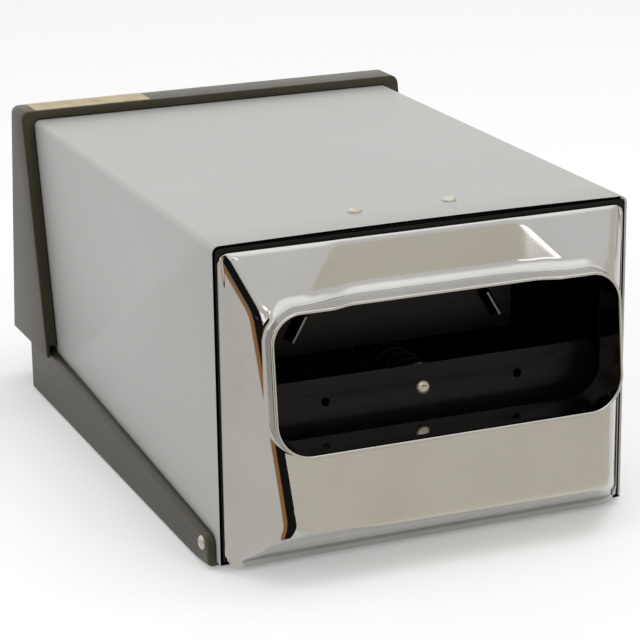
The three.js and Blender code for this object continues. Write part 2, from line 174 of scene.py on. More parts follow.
def foldedSheet(name, profile, half, thickness, bend, offset=-1):
    # profile holds (y, z) along the fold, from the sheet's first edge to its last
    deselectAll()
    points = [Vector((0, y, z)) for y, z in profile]
    first, second = points[0], points[1]
    tilt = math.atan2(second.z - first.z, second.y - first.y)
    bpy.ops.mesh.primitive_plane_add(size=1, location=(first + second) / 2, rotation=(tilt, 0, 0))
    piece = bpy.context.active_object
    piece.name = name
    piece.scale = (2 * half, (second - first).length, 1)
    applyPlace()
    startEdit(piece)
    for here, there in zip(points[1:], points[2:]):
        pick(piece, "edges", lambda e: (middleOf(e) - here).length < tiny)
        bpy.ops.mesh.extrude_edges_move(TRANSFORM_OT_translate={"value": there - here})
    folds = points[1:-1]
    pick(piece, "edges", lambda e: any((middleOf(e) - p).length < tiny for p in folds))
    roundEdges(bend, 5)
    endEdit()
    modify(piece, "SOLIDIFY", thickness=thickness, offset=offset, use_even_offset=True)
    return piece


def turnedPiece(name, rings, sides=32):
    # rings holds (radius, height) from the foot up, about the Z axis
    deselectAll()
    radius, height = rings[0]
    bpy.ops.mesh.primitive_circle_add(
        vertices=sides, radius=radius, fill_type="NGON", location=(0, 0, height))
    piece = bpy.context.active_object
    piece.name = name
    applyPlace()
    startEdit(piece)
    bpy.ops.mesh.select_all(action="SELECT")
    for nextRadius, nextHeight in rings[1:]:
        rise = (0, 0, nextHeight - height)
        bpy.ops.mesh.extrude_region_move(TRANSFORM_OT_translate={"value": rise})
        share = nextRadius / radius
        bpy.ops.transform.resize(value=(share, share, 1), center_override=(0, 0, nextHeight))
        radius, height = nextRadius, nextHeight
    endEdit()
    outwardNormals(piece)
    return piece


def copyTo(piece, name, place, axis=(0, 0, 1)):
    copied = piece.copy()
    copied.data = piece.data.copy()
    copied.name = name
    bpy.context.scene.collection.objects.link(copied)
    turn = Vector(axis).to_track_quat("Z", "Y").to_matrix().to_4x4()
    copied.data.transform(Matrix.Translation(place) @ turn)
    return copied


def finishPiece(piece, body, slotName, replaced, *materials, angle=32):
    makeActive(piece)
    if angle:
        bpy.ops.object.shade_smooth_by_angle(angle=math.radians(angle))
    piece.data.materials.clear()
    for one in materials:
        piece.data.materials.append(one)
    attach(piece, body)
    for node in replaced:
        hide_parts(node)


# Camera

camera = dict(
    place=spot(-0.41841, -0.89886, 0.41046),
    azimuth=-22.371, elevation=17.470, roll=-0.813,
    lens=138.763, sensor=36,
)


def makeCamera():
    data = bpy.data.cameras.new("view_camera")
    data.lens = camera["lens"]
    data.sensor_width = camera["sensor"]
    data.clip_start = 0.05
    data.clip_end = 60
    item = bpy.data.objects.new("view_camera", data)
    bpy.context.scene.collection.objects.link(item)
    side, up = math.radians(camera["azimuth"]), math.radians(camera["elevation"])
    ahead = Vector((-math.sin(side) * math.cos(up), math.cos(side) * math.cos(up), -math.sin(up)))
    rolled = Quaternion((0, 0, 1), math.radians(camera["roll"]))
    item.location = camera["place"]
    item.rotation_mode = "QUATERNION"
    item.rotation_quaternion = ahead.to_track_quat("-Z", "Y") @ rolled
    bpy.context.scene.camera = item


makeCamera()
print("camera placed")


# Shared effects, as node groups

def newGroup(name, inputs, outputs):
    group = bpy.data.node_groups.new(name, "ShaderNodeTree")
    for label, kind, value in inputs:
        socket = group.interface.new_socket(label, in_out="INPUT", socket_type=kind)
        if value is not None:
            socket.default_value = value
    for label, kind in outputs:
        group.interface.new_socket(label, in_out="OUTPUT", socket_type=kind)
    start = group.nodes.new("NodeGroupInput")
    end = group.nodes.new("NodeGroupOutput")
    return group, start, end


number = "NodeSocketFloat"
vector = "NodeSocketVector"


def addNode(tree, kind, inputs=None, **settings):
    node = tree.nodes.new(kind)
    for name, value in settings.items():
        setattr(node, name, value)
    for name, value in (inputs or {}).items():
        socket = node.inputs[name]
        if isinstance(value, bpy.types.NodeSocket):
            tree.links.new(value, socket)
        else:
            socket.default_value = value
    return node


def sums(tree, operation, a, b=0.0, clamp=False):
    node = addNode(tree, "ShaderNodeMath", {0: a, 1: b}, operation=operation, use_clamp=clamp)
    return node.outputs[0]


def ranged(tree, value, low, high, outLow=0.0, outHigh=1.0, smooth=False):
    kind = "SMOOTHSTEP" if smooth else "LINEAR"
    node = addNode(
        tree, "ShaderNodeMapRange",
        {"Value": value, "From Min": low, "From Max": high, "To Min": outLow, "To Max": outHigh},
        interpolation_type=kind)
    return node.outputs["Result"]


def blended(tree, mask, first, second):
    node = addNode(tree, "ShaderNodeMix", data_type="RGBA")
    for index, value in ((0, mask), (6, first), (7, second)):
        socket = node.inputs[index]
        if isinstance(value, bpy.types.NodeSocket):
            tree.links.new(value, socket)
        else:
            socket.default_value = value
    return node.outputs[2]


def makeGrain():
    # small even bumps, as of sprayed paint or moulded plastic
    group, start, end = newGroup(
        "fineGrain",
        [("Place", vector, None), ("Per Metre", number, 900.0), ("Hardness", number, 0.5)],
        [("Height", number)])
    noise = addNode(group, "ShaderNodeTexNoise", {
        "Vector": start.outputs["Place"], "Scale": start.outputs["Per Metre"],
        "Detail": 3.0, "Roughness": start.outputs["Hardness"]})
    group.links.new(noise.outputs["Fac"], end.inputs["Height"])
    return group


def makeClouds():
    # broad, soft patches from 0 to 1
    group, start, end = newGroup(
        "cloudyPatches",
        [("Place", vector, None), ("Per Metre", number, 20.0), ("From", number, 0.35),
         ("To", number, 0.7)],
        [("Mask", number)])
    noise = addNode(group, "ShaderNodeTexNoise", {
        "Vector": start.outputs["Place"], "Scale": start.outputs["Per Metre"],
        "Detail": 5.0, "Roughness": 0.6})
    mask = ranged(group, noise.outputs["Fac"], start.outputs["From"], start.outputs["To"],
                  smooth=True)
    group.links.new(mask, end.inputs["Mask"])
    return group


def makeWear():
    # rubbed edges: where the softened normal leaves the true one, broken up by noise
    group, start, end = newGroup(
        "edgeWear",
        [("Place", vector, None), ("Per Metre", number, 140.0), ("Amount", number, 0.5)],
        [("Mask", number)])
    surface = addNode(group, "ShaderNodeNewGeometry")
    soft = addNode(group, "ShaderNodeBevel", {"Radius": 0.0007}, samples=4)
    match = addNode(group, "ShaderNodeVectorMath",
                    {0: surface.outputs["Normal"], 1: soft.outputs["Normal"]},
                    operation="DOT_PRODUCT")
    sharp = ranged(group, match.outputs["Value"], 0.995, 0.93, smooth=True)
    noise = addNode(group, "ShaderNodeTexNoise", {
        "Vector": start.outputs["Place"], "Scale": start.outputs["Per Metre"],
        "Detail": 6.0, "Roughness": 0.7})
    broken = ranged(group, noise.outputs["Fac"], 0.4, 0.62, smooth=True)
    both = sums(group, "MULTIPLY", sharp, broken)
    mask = sums(group, "MULTIPLY", both, start.outputs["Amount"], clamp=True)
    group.links.new(mask, end.inputs["Mask"])
    return group


def makeSpecks():
    # scattered dust specks, thicker on what faces up
    group, start, end = newGroup(
        "dustSpecks",
        [("Place", vector, None), ("Per Metre", number, 420.0), ("Amount", number, 0.4)],
        [("Mask", number)])
    specks = addNode(group, "ShaderNodeTexVoronoi", {
        "Vector": start.outputs["Place"], "Scale": start.outputs["Per Metre"]})
    dots = ranged(group, specks.outputs["Distance"], 0.16, 0.05, smooth=True)
    patches = addNode(group, "ShaderNodeTexNoise", {
        "Vector": start.outputs["Place"], "Scale": 45.0, "Detail": 4.0})
    where = ranged(group, patches.outputs["Fac"], 0.46, 0.66, smooth=True)
    surface = addNode(group, "ShaderNodeNewGeometry")
    parts = addNode(group, "ShaderNodeSeparateXYZ", {0: surface.outputs["Normal"]})
    upward = ranged(group, parts.outputs["Z"], -0.2, 0.9, 0.25, 1.0)
    both = sums(group, "MULTIPLY", dots, where)
    faced = sums(group, "MULTIPLY", both, upward)
    mask = sums(group, "MULTIPLY", faced, start.outputs["Amount"], clamp=True)
    group.links.new(mask, end.inputs["Mask"])
    return group


def makeStreaks():
    # fine lines drawn out along one axis, given by how Stretch scales the place
    group, start, end = newGroup(
        "drawnStreaks",
        [("Place", vector, None), ("Stretch", vector, None), ("Hardness", number, 0.6)],
        [("Height", number)])
    drawn = addNode(group, "ShaderNodeVectorMath",
                    {0: start.outputs["Place"], 1: start.outputs["Stretch"]},
                    operation="MULTIPLY")
    noise = addNode(group, "ShaderNodeTexNoise", {
        "Vector": drawn.outputs["Vector"], "Scale": 1.0, "Detail": 4.0,
        "Roughness": start.outputs["Hardness"]})
    group.links.new(noise.outputs["Fac"], end.inputs["Height"])
    return group


effects = dict(grain=makeGrain(), clouds=makeClouds(), wear=makeWear(),
               specks=makeSpecks(), streaks=makeStreaks())


def effect(tree, name, **values):
    node = tree.nodes.new("ShaderNodeGroup")
    node.node_tree = effects[name]
    place = addNode(tree, "ShaderNodeTexCoord")
    tree.links.new(place.outputs["Object"], node.inputs["Place"])
    for label, value in values.items():
        node.inputs[label.replace("_", " ")].default_value = value
    return node.outputs[0]


def newFinish(name, **sockets):
    made = bpy.data.materials.new(name)
    made.use_nodes = True
    shader = made.node_tree.nodes["Principled BSDF"]
    for label, value in sockets.items():
        shader.inputs[label.replace("_", " ")].default_value = value
    return made, made.node_tree, shader


def bumped(tree, shader, height, distance, strength=1.0):
    bump = addNode(tree, "ShaderNodeBump",
                   {"Height": height, "Distance": distance, "Strength": strength})
    tree.links.new(bump.outputs["Normal"], shader.inputs["Normal"])


def coloured(tree, shader, colour):
    tree.links.new(colour, shader.inputs["Base Color"])


def roughened(tree, shader, value):
    tree.links.new(value, shader.inputs["Roughness"])


# Finishes

def makeSilverPaint():
    look = dict(paint=(0.356, 0.362, 0.346, 1), worn=(0.27, 0.265, 0.25, 1),
                pale=(0.369, 0.375, 0.360, 1), dust=(0.24, 0.23, 0.21, 1))
    made, tree, shader = newFinish("silver_paint_finish", Metallic=0.1)
    patches = effect(tree, "clouds", Per_Metre=9.0, From=0.3, To=0.75)
    colour = blended(tree, patches, look["paint"], look["pale"])
    rubbed = effect(tree, "wear", Per_Metre=160.0, Amount=0.55)
    colour = blended(tree, rubbed, colour, look["worn"])
    specks = effect(tree, "specks", Per_Metre=300.0, Amount=0.35)
    coloured(tree, shader, blended(tree, specks, colour, look["dust"]))
    flake = effect(tree, "grain", Per_Metre=2600.0, Hardness=0.6)
    roughened(tree, shader, ranged(tree, flake, 0.3, 0.7, 0.38, 0.46))
    peel = effect(tree, "grain", Per_Metre=1900.0, Hardness=0.5)
    bumped(tree, shader, peel, 0.00002, 0.25)
    return made


def makeBlackPlastic():
    look = dict(base=(0.0175, 0.0155, 0.0070, 1), faded=(0.0245, 0.0220, 0.0110, 1),
                rubbed=(0.045, 0.042, 0.032, 1), dust=(0.12, 0.11, 0.09, 1))
    made, tree, shader = newFinish("black_plastic_finish", Specular_Tint=(1, 0.95, 0.85, 1),
                                   Specular_IOR_Level=0.38)
    patches = effect(tree, "clouds", Per_Metre=22.0, From=0.35, To=0.7)
    colour = blended(tree, patches, look["base"], look["faded"])
    rubbed = effect(tree, "wear", Per_Metre=180.0, Amount=0.6)
    colour = blended(tree, rubbed, colour, look["rubbed"])
    specks = effect(tree, "specks", Per_Metre=380.0, Amount=0.5)
    coloured(tree, shader, blended(tree, specks, colour, look["dust"]))
    pebble = effect(tree, "grain", Per_Metre=1500.0, Hardness=0.55)
    roughened(tree, shader, ranged(tree, pebble, 0.3, 0.7, 0.34, 0.48))
    bumped(tree, shader, pebble, 0.00006, 0.5)
    return made


def makeChrome():
    look = dict(plate=(0.475, 0.470, 0.455, 1), hazed=(0.445, 0.438, 0.42, 1),
                spot=(0.26, 0.245, 0.22, 1))
    made, tree, shader = newFinish("chrome_finish", Metallic=1.0)
    haze = effect(tree, "clouds", Per_Metre=26.0, From=0.4, To=0.75)
    colour = blended(tree, haze, look["plate"], look["hazed"])
    specks = effect(tree, "specks", Per_Metre=260.0, Amount=0.35)
    coloured(tree, shader, blended(tree, specks, colour, look["spot"]))
    smear = effect(tree, "clouds", Per_Metre=60.0, From=0.35, To=0.8)
    roughened(tree, shader, ranged(tree, smear, 0.0, 1.0, 0.045, 0.11))
    drawn = effect(tree, "streaks", Stretch=(260.0, 260.0, 14.0), Hardness=0.5)
    bumped(tree, shader, drawn, 0.00002, 0.12)
    return made


def makeBlackEnamel():
    made, tree, shader = newFinish("black_enamel_finish", Specular_IOR_Level=0.17)
    patches = effect(tree, "clouds", Per_Metre=35.0, From=0.35, To=0.7)
    colour = blended(tree, patches, (0.0024, 0.0024, 0.0022, 1), (0.0042, 0.0042, 0.0037, 1))
    rubbed = effect(tree, "wear", Per_Metre=240.0, Amount=0.35)
    colour = blended(tree, rubbed, colour, (0.05, 0.047, 0.044, 1))
    specks = effect(tree, "specks", Per_Metre=420.0, Amount=0.2)
    coloured(tree, shader, blended(tree, specks, colour, (0.05, 0.05, 0.045, 1)))
    peel = effect(tree, "grain", Per_Metre=800.0, Hardness=0.4)
    roughened(tree, shader, ranged(tree, peel, 0.3, 0.7, 0.32, 0.42))
    bumped(tree, shader, peel, 0.00003, 0.22)
    return made


def makeLabelPaper():
    look = dict(paper=(0.46, 0.385, 0.25, 1), stained=(0.34, 0.27, 0.165, 1),
                fibre=(0.53, 0.46, 0.34, 1))
    made, tree, shader = newFinish("label_paper_finish")
    stains = effect(tree, "clouds", Per_Metre=110.0, From=0.42, To=0.72)
    colour = blended(tree, stains, look["paper"], look["stained"])
    fibres = effect(tree, "streaks", Stretch=(500.0, 2600.0, 2600.0), Hardness=0.7)
    threads = ranged(tree, fibres, 0.52, 0.68, smooth=True)
    coloured(tree, shader, blended(tree, threads, colour, look["fibre"]))
    roughened(tree, shader, ranged(tree, fibres, 0.3, 0.7, 0.6, 0.8))
    bumped(tree, shader, fibres, 0.00003, 0.5)
    return made


def plainFinish(name, patches, colours, grain, rough, bump, **sockets):
    # two colours in soft patches over one even grain
    made, tree, shader = newFinish(name + "_finish", **sockets)
    mask = effect(tree, "clouds", Per_Metre=patches[0], From=patches[1], To=patches[2])
    coloured(tree, shader, blended(tree, mask, *[(*colour, 1) for colour in colours]))
    height = effect(tree, "grain", Per_Metre=grain[0], Hardness=grain[1])
    roughened(tree, shader, ranged(tree, height, 0.3, 0.7, *rough))
    bumped(tree, shader, height, *bump)
    return made


finishes = dict(
    silver_paint=makeSilverPaint(), black_plastic=makeBlackPlastic(), chrome=makeChrome(),
    black_enamel=makeBlackEnamel(), label_paper=makeLabelPaper(),
    bare_metal=plainFinish(
        "bare_metal", (300.0, 0.35, 0.7), [(0.54, 0.50, 0.44), (0.42, 0.38, 0.32)],
        (4200.0, 0.6), (0.26, 0.44), (0.00002, 0.5), Metallic=0.85),
    spring_steel=plainFinish(      # oil-blackened wire
        "spring_steel", (90.0, 0.35, 0.7), [(0.003, 0.003, 0.003), (0.006, 0.006, 0.005)],
        (3600.0, 0.6), (0.25, 0.42), (0.00002, 0.4), Metallic=0.1, Specular_IOR_Level=0.05),
    rubber=plainFinish(
        "rubber", (90.0, 0.3, 0.7), [(0.012, 0.012, 0.012), (0.03, 0.03, 0.028)],
        (2400.0, 0.7), (0.75, 0.95), (0.00008, 0.6)),
    nylon=plainFinish(
        "nylon", (120.0, 0.3, 0.7), [(0.62, 0.60, 0.55), (0.50, 0.48, 0.42)],
        (1800.0, 0.5), (0.42, 0.58), (0.00004, 0.4)),
)
# painted shade: a near-black finish without reflection for the shell's inner faces and its cut edges
# at left and top, standing in for the dark interior and the dark line beside the chrome
paintedShadeInside = plainFinish(
    "shell_inside", (30.0, 0.3, 0.7), [(0.001, 0.001, 0.001), (0.002, 0.002, 0.002)],
    (1100.0, 0.5), (0.5, 0.66), (0.00004, 0.4), Specular_IOR_Level=0.0)
tabEdgeHighlight = plainFinish(            # a sheared tab edge, lighter: partly bare metal, partly a painted highlight where the edge catches light
    "tab_edge_highlight", (420.0, 0.35, 0.7), [(0.33, 0.32, 0.29), (0.22, 0.21, 0.19)],
    (4200.0, 0.6), (0.4, 0.6), (0.00002, 0.5), Metallic=0.15)
for node in nodes.values():
    for held in node.material_slots:
        held.material = finishes[held.material.name.split(".")[0]]
print("finishes made")


# Shell: one sheet folded to an upturned U, its feet turned in

shell = dict(sheet=0.001, bend=0.003, flange=0.011, crown=0.0008, crownReach=0.12, edge=0.0002)


def makeShell():
    half = shellHigh.x
    piece = boxAt("shell_sheet", shellLow, shellHigh)
    startEdit(piece)
    pick(piece, "faces", lambda f: f.normal.z < -0.9 or abs(f.normal.y) > 0.9)
    bpy.ops.mesh.delete(type="FACE")
    pick(piece, "edges", lambda e: runsAlong(e, 1) and middleOf(e).z > shellHigh.z - tiny)
    roundEdges(shell["bend"], 8)
    pick(piece, "edges", lambda e: runsAlong(e, 0))
    bpy.ops.mesh.subdivide(number_cuts=15)
    pick(piece, "edges", lambda e: runsAlong(e, 1) and middleOf(e).z > shellHigh.z - 0.02)
    bpy.ops.mesh.subdivide(number_cuts=11)
    for side in (-1, 1):
        pick(piece, "edges", lambda e: runsAlong(e, 1) and middleOf(e).z < shellLow.z + tiny
             and middleOf(e).x * side > 0)
        inward = (-side * shell["flange"], 0, 0)
        bpy.ops.mesh.extrude_edges_move(TRANSFORM_OT_translate={"value": inward})
    endEdit()
    flatHalf = half - shell["bend"]
    for corner in piece.data.vertices:
        if corner.co.z > shellHigh.z - tiny:
            across = max(0.0, 1 - (corner.co.x / flatHalf) ** 2)
            back = max(0.0, 1 - (corner.co.y - frontLine) / shell["crownReach"])
            corner.co.z += shell["crown"] * across * back * back
    outwardNormals(piece)
    modify(piece, "SOLIDIFY", thickness=shell["sheet"], offset=-1, use_even_offset=True)
    softenEdges(piece, shell["edge"], 2, 50)
    finishPiece(piece, "housing", "silver_paint", ["shell"],
                finishes["silver_paint"], paintedShadeInside)
    # inward faces and the cut edges at left and top take the near-black finish: painted shade for
    # the dark interior and for the dark line between the shell's side and the chrome; the right edge
    # keeps silver paint
    middle = (shellLow.z + shellHigh.z) / 2
    for face in piece.data.polygons:
        outward = face.normal.x * face.center.x + face.normal.z * (face.center.z - middle)
        cut = abs(face.normal.y) > 0.5 and face.center.x < half - shell["bend"]
        if outward < 0 or cut:
            face.material_index = 1


makeShell()
print("shell folded")


# Tray: floor, rear wall, two side rails and the hinge ears

tray = dict(
    outer=0.0986, inner=0.0953, floor=0.0025, front=0.0044, rear=0.266,
    frontHeight=0.0142, slope=0.064, toeTop=0.0045, toeBottom=0.003, shoulder=0.0026,
    wallHeight=0.024, wall=0.0025, edge=0.0003,
    earLow=0.020, earHigh=0.037, earFront=0.254, earRear=0.278, earRound=0.004,
    earUndercut=0.009, earSlope=0.012, overlap=0.001, floorBack=0.003,
)


def makeRail(side):
    low = spot(tray["inner"], tray["front"], 0)
    high = spot(tray["outer"], tray["rear"], tray["frontHeight"])
    low.x, high.x = sorted((side * low.x, side * high.x))
    piece = boxAt("rail", low, high)
    climb = tray["slope"] * (tray["rear"] - tray["front"])
    startEdit(piece)
    pick(piece, "verts", lambda v: v.co.z > high.z - tiny and v.co.y > high.y - tiny)
    slide(z=climb)
    pick(piece, "edges", lambda e: runsAlong(e, 0) and middleOf(e).z > high.z - tiny
         and middleOf(e).y < low.y + tiny)
    roundEdges(tray["toeTop"], 8)
    pick(piece, "edges", lambda e: runsAlong(e, 0) and middleOf(e).z < low.z + tiny
         and middleOf(e).y < low.y + tiny)
    roundEdges(tray["toeBottom"], 6)
    outside = side * tray["outer"]

    def onShoulder(edge):
        middle = middleOf(edge)
        return (all(abs(v.co.x - outside) < tiny for v in edge.verts)
                and middle.z > low.z + tiny and middle.y < high.y - tiny)
    pick(piece, "edges", onShoulder)
    roundEdges(tray["shoulder"], 7)
    endEdit()
    return piece


def makeEar(side):
    low = spot(tray["inner"], tray["earFront"], tray["earLow"])
    high = spot(tray["outer"], tray["earRear"], tray["earHigh"])
    low.x, high.x = sorted((side * low.x, side * high.x))
    piece = boxAt("ear", low, high)
    startEdit(piece)
    pick(piece, "verts", lambda v: v.co.z < low.z + tiny and v.co.y > high.y - tiny)
    slide(z=tray["earUndercut"])
    pick(piece, "verts", lambda v: v.co.z > high.z - tiny and v.co.y < low.y + tiny)
    slide(y=tray["earSlope"])
    pick(piece, "edges", lambda e: runsAlong(e, 0) and middleOf(e).y > high.y - tiny)
    roundEdges(tray["earRound"], 6)
    endEdit()
    return piece


def makeTray():
    reach = tray["inner"] + tray["overlap"]
    piece = boxAt("tray_moulding", spot(-reach, tray["front"] + tray["floorBack"], 0),
                  spot(reach, tray["rear"], tray["floor"]))
    weld(piece, boxAt("rear_wall", spot(-reach, tray["rear"] - tray["wall"], 0),
                      spot(reach, tray["rear"], tray["wallHeight"])))
    for side in (-1, 1):
        weld(piece, makeRail(side))
        weld(piece, makeEar(side))
    softenEdges(piece, tray["edge"], 2, 50)
    outwardNormals(piece)
    finishPiece(piece, "housing", "black_plastic", ["base_tray"], finishes["black_plastic"])


makeTray()
print("tray moulded")


# Rear door: a wedge-shaped cap, open towards the shell, with a lip close round it

door = dict(
    half=0.10125, top=0.146, bottom=0.0265, wall=0.002,
    lipTop=0.2533, lipBottom=0.2282, rearTop=0.2741, rearBottom=0.2905,
    corner=0.0038, innerCorner=0.0022, roomHalf=0.0954, roomTop=0.1419, roomCorner=0.0035,
    roomFront=0.15, roomRear=0.262, railRoom=0.032, behind=0.268, edge=0.00055,
)


def wedge(name, half, top, bottom, grow, deeper):
    # the cap's outline, moved in by grow, its front face moved back by deeper
    slopeFront = (door["lipTop"] - door["lipBottom"]) / (door["top"] - door["bottom"])
    slopeRear = (door["rearTop"] - door["rearBottom"]) / (door["top"] - door["bottom"])
    front = [door["lipBottom"] + (z - door["bottom"]) * slopeFront + deeper for z in (bottom, top)]
    rear = [door["rearBottom"] + (z - door["bottom"]) * slopeRear - grow for z in (bottom, top)]
    piece = boxAt(name, spot(-half, front[0], bottom), spot(half, rear[0], top))
    middle = frontLine + (front[0] + rear[0]) / 2
    startEdit(piece)
    pick(piece, "verts", lambda v: v.co.z > trayLine + top - tiny and v.co.y < middle)
    slide(y=front[1] - front[0])
    pick(piece, "verts", lambda v: v.co.z > trayLine + top - tiny and v.co.y > middle)
    slide(y=rear[1] - rear[0])
    return piece


def roundCap(piece, half, top, radius, steps):
    # in edit mode: the crown's long edges and the rear corners
    def onCap(edge):
        middle = middleOf(edge)
        high = all(v.co.z > trayLine + top - tiny for v in edge.verts)
        side = all(abs(v.co.x) > half - tiny for v in edge.verts)
        behind = middle.y > frontLine + door["behind"]
        frontEdge = runsAlong(edge, 0) and not behind
        bottomEdge = all(v.co.z < trayLine + door["bottom"] + tiny for v in edge.verts)
        return (high and not frontEdge or side and behind) and not bottomEdge
    pick(piece, "edges", onCap)
    roundEdges(radius, steps)
    endEdit()


def makeDoor():
    piece = wedge("door_cap", door["half"], door["top"], door["bottom"], 0, 0)
    roundCap(piece, door["half"], door["top"], door["corner"], 7)
    wall = door["wall"]
    hollow = wedge("hollow", door["half"] - wall, door["top"] - wall, door["bottom"] - 0.01,
                   wall, wall)
    roundCap(hollow, door["half"] - wall, door["top"] - wall, door["innerCorner"], 5)
    carve(piece, hollow)
    room = boxAt("shell_room", spot(-door["roomHalf"], door["roomFront"], -0.01),
                 spot(door["roomHalf"], door["roomRear"], door["roomTop"]))
    startEdit(room)
    pick(room, "edges", lambda e: runsAlong(e, 1) and middleOf(e).z > trayLine + 0.1)
    roundEdges(door["roomCorner"], 6)
    endEdit()
    carve(piece, room)
    inside = door["half"] - wall
    carve(piece, boxAt("rail_room", spot(-inside, door["roomFront"], -0.01),
                       spot(inside, door["roomRear"], door["railRoom"])))
    softenEdges(piece, door["edge"], 3, 40)
    outwardNormals(piece)
    finishPiece(piece, "door", "black_plastic", ["rear_door"], finishes["black_plastic"])


makeDoor()
print("door made")


# Label on the cap: plain paper

label = dict(corner=0.0012, border=0.0012)


def makeLabel():
    low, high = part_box("door_label")
    piece = boxAt("label_paper", low, high)
    startEdit(piece)
    pick(piece, "edges", lambda e: runsAlong(e, 2))
    roundEdges(label["corner"], 4)
    pick(piece, "faces", lambda f: abs(f.normal.z) > 0.9)
    bpy.ops.mesh.inset(thickness=label["border"], depth=0)
    endEdit()
    finishPiece(piece, "door", "label_paper", ["door_label"], finishes["label_paper"])


makeLabel()


# Faceplate: one plated shell drawn to a snout, with a collar round its mouth

plate = dict(
    half=0.092, reach=0.001, bottom=0.0008, top=0.1384, lowRadius=0.0075, highRadius=0.005,
    rim=0.0015, rimRound=0.0008, rimRoundTop=0.0024, rimDrop=0.0009, edge=0.0002, foot=0.0026,
    strip=0.1, wall=0.0024, flank=0.64, bevel=1.51, upper=0.629,
    panelDepth=0.0159, panelTop=0.1155, panelSlope=0.157,
    flankBlend=0.0105, bevelBlend=0.008, upperBlend=0.0016,
    scoopSlope=0.374, scoopRun=0.227, scoopDrop=0.4187, scoopBase=0.04992,
    scoopCorner=0.001, scoopRidge=0.0006,
    mouthHalf=0.0783, mouthBottom=0.0569, mouthTop=0.1155, mouthLow=0.0145, mouthHigh=0.012,
    collar=0.0014, filletLeast=0.0011, filletMost=0.0065, filletShare=0.5,
    filletFrom=0.106, filletTo=0.118,
    crestDepth=0.0293, crestSlope=0.099, root=0.009,
    dipDepth=0.003, dipHalf=0.047, dipSoft=0.006, dipFrom=0.100, dipTo=0.112,
    alongSide=60, alongTop=112, alongCorner=36, frontRings=56, filletRings=9,
)


def smoothLow(a, b, reach):
    near = max(reach - abs(a - b), 0)
    return min(a, b) - (near * near / (4 * reach) if reach > 0 else 0)


def smoothHigh(a, b, reach):
    return -smoothLow(-a, -b, reach)


def faceDepth(x, z):
    # how far the plate stands out from the shell's front, without its collar
    x = abs(x)
    flank = plate["rim"] + (plate["half"] - x) / plate["flank"]
    upper = plate["rim"] + (plate["top"] - z) * plate["upper"]
    strip = plate["rim"] + (z - plate["bottom"]) * plate["strip"]
    bevel = plate["rim"] + (z - plate["bottom"] - plate["foot"]) * plate["bevel"]
    bevel = smoothHigh(strip, bevel, plate["foot"] / 2)
    panel = plate["panelDepth"] + (plate["panelTop"] - z) * plate["panelSlope"]
    body = smoothLow(panel, bevel, plate["bevelBlend"])
    body = smoothLow(body, upper, plate["upperBlend"])
    room = 4 * (min(body, flank) - plate["rim"] / 3)
    body = smoothLow(body, flank, max(min(plate["flankBlend"], room), 0))
    floor = plate["rim"] + (plate["top"] - z) * plate["scoopSlope"]
    side = plate["scoopRun"] * x - plate["scoopDrop"] * z + plate["scoopBase"]
    scoop = smoothHigh(floor, side, plate["scoopCorner"])
    return smoothLow(body, scoop, plate["scoopRidge"])


def roundedOutline(half, low, high, lowRadius, highRadius, grow):
    # points and outward normals round a rectangle with round corners, evenly shared between
    # its sides and corners, so that two such outlines match point for point
    steps = plate["alongCorner"]
    corners = [
        (half - highRadius, high - highRadius, highRadius, 0, plate["alongTop"]),
        (-half + highRadius, high - highRadius, highRadius, 90, plate["alongSide"]),
        (-half + lowRadius, low + lowRadius, lowRadius, 180, plate["alongTop"]),
        (half - lowRadius, low + lowRadius, lowRadius, 270, plate["alongSide"]),
    ]
    points = []
    for index, (cx, cz, radius, start, straight) in enumerate(corners):
        for step in range(steps):
            angle = math.radians(start + 90 * step / (steps - 1))
            way = (math.cos(angle), math.sin(angle))
            reach = radius + grow
            points.append((cx + reach * way[0], cz + reach * way[1], way[0], way[1]))
        ox, oz, nx, nz = points[-1]
        tx, tz, nextRadius, nextStart, _ = corners[(index + 1) % 4]
        angle = math.radians(nextStart)
        reach = nextRadius + grow
        goal = (tx + reach * math.cos(angle), tz + reach * math.sin(angle))
        for step in range(1, straight + 1):
            share = step / (straight + 1)
            points.append((ox + (goal[0] - ox) * share, oz + (goal[1] - oz) * share, nx, nz))
    return points


def mouthOutline(grow):
    return roundedOutline(plate["mouthHalf"], plate["mouthBottom"], plate["mouthTop"],
                          plate["mouthLow"], plate["mouthHigh"], grow)


def rimOutline(inset):
    return roundedOutline(plate["half"] + plate["reach"], plate["bottom"], plate["top"],
                          plate["lowRadius"], plate["highRadius"], -inset)


def rounding(distance, radius):
    # height lost by a quarter round, at this distance from its edge
    if distance >= radius:
        return 0
    return radius - math.sqrt(max(radius * radius - (radius - distance) ** 2, 0))


def softStep(value, low, high):
    share = min(max((value - low) / (high - low), 0), 1)
    return share * share * (3 - 2 * share)


def crestAt(x, z):
    # the collar's edge sits back a little over the finger scoop
    half, soft = plate["dipHalf"], plate["dipSoft"]
    dip = 1 - softStep(abs(x), half - soft, half + soft)
    dip *= softStep(z, plate["dipFrom"], plate["dipTo"])
    straight = plate["crestDepth"] - plate["crestSlope"] * (z - plate["mouthBottom"])
    return straight - plate["dipDepth"] * dip


def outwards(point, distance):
    # a point of an outline, moved along its normal, as (x, z)
    return point[0] + point[2] * distance, point[1] + point[3] * distance


def rimTurn(point):
    # how far in the rim's round edge reaches, further along the top
    more = plate["rimRoundTop"] - plate["rimRound"]
    return plate["rimRound"] + more * softStep(point[3], 0.2, 1)


def filletAt(point):
    x, z = outwards(point, plate["collar"])
    height = crestAt(x, z) - faceDepth(x, z)
    wide = min(max(height * plate["filletShare"], plate["filletLeast"]), plate["filletMost"])
    share = softStep(z, plate["filletFrom"], plate["filletTo"])
    return plate["filletLeast"] + (wide - plate["filletLeast"]) * share


